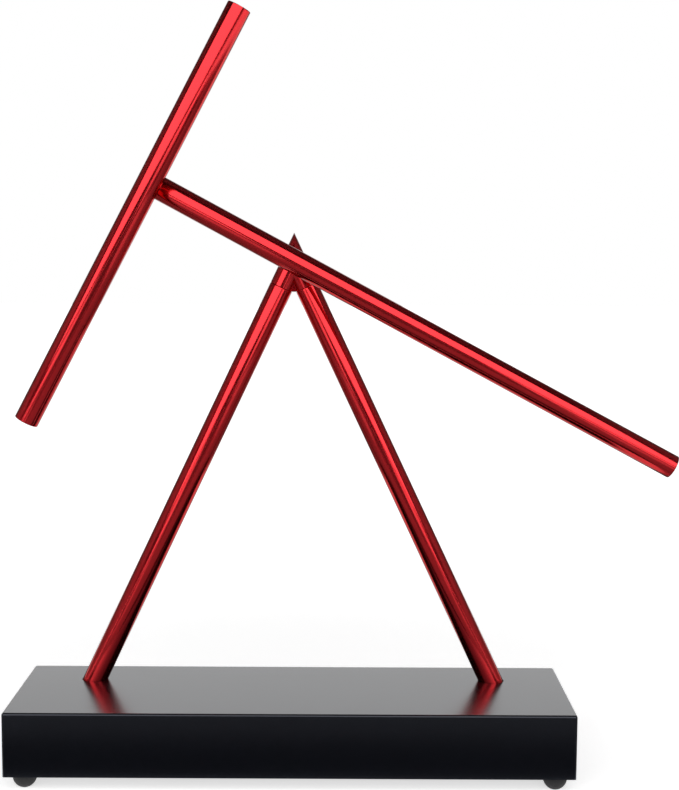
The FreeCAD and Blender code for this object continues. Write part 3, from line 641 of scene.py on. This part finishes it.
@dataclass
class Stand:
    """The A-frame of two tubes under a pointed connector."""

    shop: Paintshop
    lean: float = 0.4275
    seam: float = 0.015
    length: float = 0.2528
    seam_round: float = 0.0006

    def build(self) -> None:
        """Builds the legs and dresses the connector and the main bearings."""
        apex = joint_point("main_pivot")
        for side, way in (("left", -1.0), ("right", 1.0)):
            node = f"{side}_leg_tube"
            top = Vector((apex.x, middle(node).y, apex.z))
            axis = Vector((way * self.lean, 0.0, -math.sqrt(1 - self.lean ** 2)))
            leg = Tube(f"{side}_leg", Line(top, axis), self.seam, self.length, start_round=self.seam_round)
            leg.mount(self.shop, Body.BASE, node, RED)
        self.shop.dress("apex_connector", RED)
        for node in ("main_outer_races", "main_balls"):
            self.shop.dress(node, RACE)


@dataclass
class Arm:
    """One swinging arm with the shaft that carries it."""

    shop: Paintshop
    tube: str
    joint: str
    body: Body
    back: float
    reach: float
    others: dict[str, Finish]

    def line(self) -> Line:
        """Line of the tube through its pivot."""
        pivot, centre = joint_point(self.joint), middle(self.tube)
        return Line(pivot, Vector((centre.x - pivot.x, 0.0, centre.z - pivot.z)).normalized())

    def build(self) -> None:
        """Builds the tube on its line and dresses the rest."""
        line = self.line()
        for node, finish in self.others.items():
            self.shop.dress(node, finish, line if finish is RED else None, "_" + self.tube if finish is RED else "")
        tube = Tube(self.tube.replace("_tube", ""), line, -self.back, self.reach)
        tube.mount(self.shop, self.body, self.tube, RED)


@dataclass(frozen=True)
class Softbox:
    """A rectangular lamp.

    Attributes:
        name: Its name.
        place: Its middle.
        aim: Point that it faces.
        size: Width and height.
        radiance: Brightness of its face, where 1 is white.
    """

    name: str
    place: Vector
    aim: Vector
    size: tuple[float, float]
    radiance: float

    def build(self) -> None:
        """Adds the lamp, which only the object sees."""
        data = bpy.data.lights.new(self.name, "AREA")
        data.shape, data.size, data.size_y = "RECTANGLE", self.size[0], self.size[1]
        data.energy = self.radiance * math.pi * self.size[0] * self.size[1]
        held = bpy.data.objects.new(self.name, data)
        held.location = self.place
        held.rotation_euler = (self.aim - self.place).to_track_quat("-Z", "Y").to_euler()
        held.visible_camera = False
        bpy.context.scene.collection.objects.link(held)


def background_rays(w: Wiring) -> bpy.types.NodeSocket:
    """One for the rays that see the background: the camera's, a reflection's and those through glass.

    Args:
        w: Wiring of the material or world.

    Returns:
        The mask.
    """
    path = w.node("LightPath")
    mask = w.maths("MAXIMUM", path.outputs["Is Camera Ray"], path.outputs["Is Glossy Ray"])
    return w.maths("MAXIMUM", mask, path.outputs["Is Transmission Ray"])


@dataclass
class Backdrop:
    """The white room, as the camera and every reflection see it, and its softer fill light."""

    fill: Rgb = (0.40, 0.40, 0.41)
    white: Rgb = (1.0, 1.0, 1.0)

    def build(self) -> None:
        """Makes the world."""
        made = bpy.data.worlds.new("studio")
        made.use_nodes = True
        made.node_tree.nodes.clear()
        w = Wiring(made.node_tree)
        sky, out = w.node("Background"), w.node("OutputWorld")
        w.feed(sky.inputs["Color"], w.blend(background_rays(w), self.fill, self.white))
        w.feed(out.inputs["Surface"], sky.outputs[0])
        bpy.context.scene.world = made


@dataclass
class Floor:
    """Plain pale floor that keeps the object's shadow, the same to the camera and in reflections."""

    half: float = 6.0
    lift: tuple[float, ...] = (0.25, 0.7, 0.62, 1.0)
    tone: Rgb = (0.85, 0.85, 0.85)

    def material(self) -> bpy.types.Material:
        """Makes the floor's material, clear from below so that the underside can be seen.

        Returns:
            The material.
        """
        made = bpy.data.materials.new("pale_floor")
        made.use_nodes = True
        made.node_tree.nodes.clear()
        w = Wiring(made.node_tree)
        reach = w.node("VectorMath", operation="LENGTH")
        w.feed(reach.inputs[0], w.node("TexCoord").outputs["Object"])
        glow_level = w.maths("MULTIPLY", background_rays(w), w.ramp(reach.outputs["Value"], *self.lift))
        matte, glow, both = w.node("BsdfDiffuse"), w.node("Emission"), w.node("AddShader")
        w.feed(matte.inputs["Color"], self.tone)
        w.feed(glow.inputs["Strength"], glow_level)
        w.feed(both.inputs[0], matte.outputs[0])
        w.feed(both.inputs[1], glow.outputs[0])
        under, out = w.node("MixShader"), w.node("OutputMaterial")
        w.feed(under.inputs[0], w.node("NewGeometry").outputs["Backfacing"])
        w.feed(under.inputs[1], both.outputs[0])
        w.feed(under.inputs[2], w.node("BsdfTransparent").outputs[0])
        w.feed(out.inputs["Surface"], under.outputs[0])
        return made

    def build(self) -> None:
        """Lays the floor."""
        shape = bmesh.new()
        bmesh.ops.create_grid(shape, x_segments=2, y_segments=2, size=self.half)
        mesh = bpy.data.meshes.new("floor")
        shape.to_mesh(mesh)
        shape.free()
        mesh.materials.append(self.material())
        held = bpy.data.objects.new("floor", mesh)
        bpy.context.scene.collection.objects.link(held)


@dataclass(frozen=True)
class Flag:
    """A flat sheet of studio cloth or card, which the object sees and the camera doesn't.

    Attributes:
        name: Its name.
        low: Its lowest corner.
        high: Its highest corner, level with the lowest along one axis.
        tone: Share of light that it gives back.
        half_unit: Half the side of the square that it is scaled from.
        least: Scale along its thin axis.
    """

    name: str
    low: tuple[float, float, float]
    high: tuple[float, float, float]
    tone: float
    half_unit: float = 0.5
    least: float = 1e-6

    def build(self) -> None:
        """Hangs or lays the sheet."""
        low, high = Vector(self.low), Vector(self.high)
        size = high - low
        thin = min(range(3), key=lambda axis: size[axis])
        shape = bmesh.new()
        bmesh.ops.create_grid(shape, x_segments=1, y_segments=1, size=self.half_unit)
        if thin != 2:
            turn = Matrix.Rotation(math.pi / 2, 3, "Y" if thin == 0 else "X")
            bmesh.ops.rotate(shape, matrix=turn, verts=shape.verts)
        bmesh.ops.scale(shape, vec=[max(value, self.least) for value in size], verts=shape.verts)
        bmesh.ops.translate(shape, vec=(low + high) / 2, verts=shape.verts)
        mesh = bpy.data.meshes.new(self.name)
        shape.to_mesh(mesh)
        shape.free()
        made = bpy.data.materials.new(self.name)
        made.use_nodes = True
        made.node_tree.nodes.clear()
        w = Wiring(made.node_tree)
        matte, out = w.node("BsdfDiffuse"), w.node("OutputMaterial")
        w.feed(matte.inputs["Color"], (self.tone, self.tone, self.tone))
        w.feed(out.inputs["Surface"], matte.outputs[0])
        mesh.materials.append(made)
        held = bpy.data.objects.new(self.name, mesh)
        held.visible_camera = False
        held.visible_shadow = False
        bpy.context.scene.collection.objects.link(held)


@dataclass
class Booth:
    """Cloth round the set, open behind the object, and the felt, mats and cards laid on the table."""

    wide: float = 2.4
    tall: float = 2.4
    window: float = 1.0
    header: float = 1.75
    front_tone: float = 0.30
    side_tone: float = 0.70
    mat_half: float = 1.2
    mat_lift: float = 0.0004
    card_lift: float = 0.0008
    felt: tuple[float, float] = (-1.9, -0.46)
    felt_tone: float = 0.15
    mat: tuple[float, float] = (-0.46, -0.13)
    mat_tone: float = 0.50
    side_mat: tuple[float, float] = (-0.13, 0.45)
    side_mat_tone: float = 0.45
    base_half: float = 0.17
    base_strip: tuple[float, float] = (-0.13, -0.06)
    base_strip_tone: float = 0.10
    pale_half: float = 0.18
    pale_strip: tuple[float, float] = (-0.60, -0.56)
    pale_tone: float = 0.90
    card_across: tuple[float, float] = (0.22, 0.46)
    card: tuple[float, float] = (-0.68, -0.30)
    card_tone: float = 0.95

    def laid(self, name: str, across: tuple[float, float], along: tuple[float, float], height: float,
             tone: float) -> Flag:
        """A sheet that lies on the table.

        Args:
            name: Its name.
            across: Where it starts and ends along X.
            along: Where it starts and ends along Y.
            height: Its height.
            tone: Share of light that it gives back.

        Returns:
            The sheet.
        """
        return Flag(name, (across[0], along[0], height), (across[1], along[1], height), tone)

    def cloths(self) -> list[Flag]:
        """The cloth that hangs round and over the set."""
        w, t, o = self.wide, self.tall, self.window
        return [Flag("front_cloth", (-w, -w, 0.0), (w, -w, t), self.front_tone),
                Flag("ceiling_cloth", (-w, -w, t), (w, w, t), self.front_tone),
                Flag("left_cloth", (-w, -w, 0.0), (-w, w, t), self.side_tone),
                Flag("right_cloth", (w, -w, 0.0), (w, w, t), self.side_tone),
                Flag("back_left_cloth", (-w, w, 0.0), (-o, w, t), self.side_tone),
                Flag("back_right_cloth", (o, w, 0.0), (w, w, t), self.side_tone),
                Flag("header_cloth", (-o, w, self.header), (o, w, t), self.front_tone)]

    def sheets(self) -> list[Flag]:
        """The felt, mats and cards on the table."""
        m, b, (inner, outer) = self.mat_half, self.base_half, self.card_across
        low, high = self.mat_lift, self.card_lift
        return [self.laid("table_felt", (-m, m), self.felt, low, self.felt_tone),
                self.laid("grey_mat", (-m, m), self.mat, low, self.mat_tone),
                self.laid("left_side_mat", (-m, -b), self.side_mat, low, self.side_mat_tone),
                self.laid("right_side_mat", (b, m), self.side_mat, low, self.side_mat_tone),
                self.laid("base_strip", (-b, b), self.base_strip, low, self.base_strip_tone),
                self.laid("pale_strip", (-self.pale_half, self.pale_half), self.pale_strip, high, self.pale_tone),
                self.laid("left_table_card", (-outer, -inner), self.card, high, self.card_tone),
                self.laid("right_table_card", (inner, outer), self.card, high, self.card_tone)]

    def build(self) -> None:
        """Hangs the cloth and lays the sheets."""
        for flag in self.cloths() + self.sheets():
            flag.build()


@dataclass
class Studio:
    """Lamps and camera, with the floor and the backdrop round them."""

    lens_mm: float = 68.96
    sensor_mm: float = 36.0
    clip: tuple[float, float] = (0.01, 50.0)
    place: tuple[float, float, float] = (0.02147, -0.75771, 0.26596)
    down_degrees: float = 5.629
    right_degrees: float = 0.151
    roll_degrees: float = 0.315
    key_place: tuple[float, float, float] = (0.0, -1.312, 0.977)
    key_aim: tuple[float, float, float] = (0.0, 0.0, 0.25)
    key_size: tuple[float, float] = (3.6, 1.463)
    key_radiance: float = 2.2
    card_out: float = 0.52
    card_aim: float = 0.15
    card_front: float = -0.95
    card_height: float = 0.12
    card_size: tuple[float, float] = (0.44, 0.23)
    card_radiance: float = 1.2

    def camera(self) -> None:
        """Places the camera."""
        data = bpy.data.cameras.new("camera")
        data.lens, data.sensor_width = self.lens_mm, self.sensor_mm
        data.clip_start, data.clip_end = self.clip
        held = bpy.data.objects.new("camera", data)
        tilt = math.pi / 2 - math.radians(self.down_degrees)
        aim = Euler((tilt, 0.0, -math.radians(self.right_degrees))).to_matrix()
        turn = aim @ Matrix.Rotation(math.radians(self.roll_degrees), 3, "Z")
        held.matrix_world = Matrix.Translation(self.place) @ turn.to_4x4()
        bpy.context.scene.collection.objects.link(held)
        bpy.context.scene.camera = held

    def lamps(self) -> None:
        """Places the key above the camera and a low card at each side of it."""
        Softbox("key", Vector(self.key_place), Vector(self.key_aim), self.key_size, self.key_radiance).build()
        for name, side in (("left_card", -1.0), ("right_card", 1.0)):
            place = Vector((side * self.card_out, self.card_front, self.card_height))
            aim = Vector((side * self.card_aim, 0.0, self.card_height))
            Softbox(name, place, aim, self.card_size, self.card_radiance).build()

    def build(self) -> None:
        """Sets up everything around the object."""
        bpy.context.scene.view_settings.view_transform = "Standard"
        self.camera()
        self.lamps()
        Backdrop().build()
        Floor().build()
        Booth().build()


SHAFT_FINISHES = {"shaft": STEEL, "sleeve": BARE, "inner_races": RACE, "race_spacer": BARE, "shim": STEEL,
                  "clip": DARK_STEEL}


def shaft_nodes(prefix: str) -> dict[str, Finish]:
    """Finishes of the pieces on one pivot's shaft."""
    return {f"{prefix}_{name}": finish for name, finish in SHAFT_FINISHES.items()}


def main() -> None:
    """Builds the looks of the whole sculpture."""
    logging.basicConfig(level=logging.INFO)
    shop = Paintshop()
    Studio().build()
    BaseBox(shop).build()
    Stand(shop).build()
    long_arm = {"long_arm_hub": BARE, "long_arm_tip_plug": RED, "drive_magnet": NICKEL, "magnet_cup": MOULDED,
                "bearing_block": RED, "short_outer_races": RACE, "short_balls": RACE, **shaft_nodes("main")}
    short_arm = {"short_arm_hub": BARE, "short_arm_plugs": RED, **shaft_nodes("short")}
    Arm(shop, "long_arm_tube", "main_pivot", Body.LONG, 0.0843, 0.2169, long_arm).build()
    Arm(shop, "short_arm_tube", "short_arm_pivot", Body.SHORT, 0.0943, 0.1308, short_arm).build()


if __name__ == "__main__":
    main()
